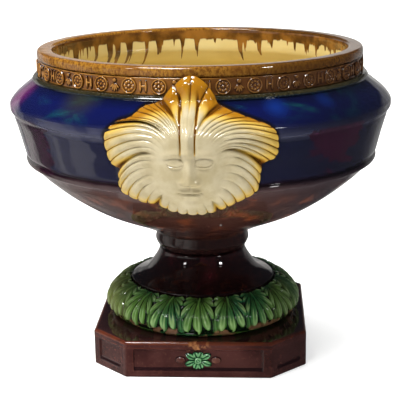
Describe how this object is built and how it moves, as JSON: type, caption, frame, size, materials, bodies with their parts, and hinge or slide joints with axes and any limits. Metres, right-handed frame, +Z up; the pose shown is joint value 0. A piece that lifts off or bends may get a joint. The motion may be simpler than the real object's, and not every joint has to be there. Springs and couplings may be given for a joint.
{
  "type": "jardiniere on stand",
  "caption": "Wide round glazed bowl with leaf masks and a beaded frieze, lifting off a low pedestal of trumpet stem, leaf wreath and square plinth with cut corners.",
  "frame": {"origin": "on the table under the axis of the bowl and the stand", "axes": "+Z up along the axis; the front mask and one long plinth face look along -Y"},
  "size_m": [0.34, 0.3662, 0.28],
  "materials": {
    "maroon_glaze": "high-gloss lead-type glaze over moulded earthenware",
    "black_brown_glaze": "high-gloss lead-type glaze over moulded earthenware",
    "green_glaze": "high-gloss lead-type glaze over moulded earthenware",
    "cobalt_glaze": "high-gloss lead-type glaze over moulded earthenware",
    "amber_glaze": "high-gloss lead-type glaze over moulded earthenware",
    "ivory_glaze": "high-gloss lead-type glaze over moulded earthenware"
  },
  "bodies": {
    "stand": {"plinth": "maroon_glaze", "stem": "black_brown_glaze", "wreath": "green_glaze", "rosette_front": "green_glaze", "rosette_right": "green_glaze", "rosette_back": "green_glaze", "rosette_left": "green_glaze", "panel_bosses": "maroon_glaze"},
    "bowl": {"bowl": "cobalt_glaze", "frieze_strip": "amber_glaze", "frieze_medallions": "amber_glaze", "frieze_links": "amber_glaze", "mask_front": "ivory_glaze", "mask_back": "ivory_glaze"}
  },
  "joints": [
    {"name": "bowl_lift", "type": "slide", "parent": "stand", "child": "bowl", "axis": [0, 0, 1], "range_m": [0, 0.06]}
  ]
}
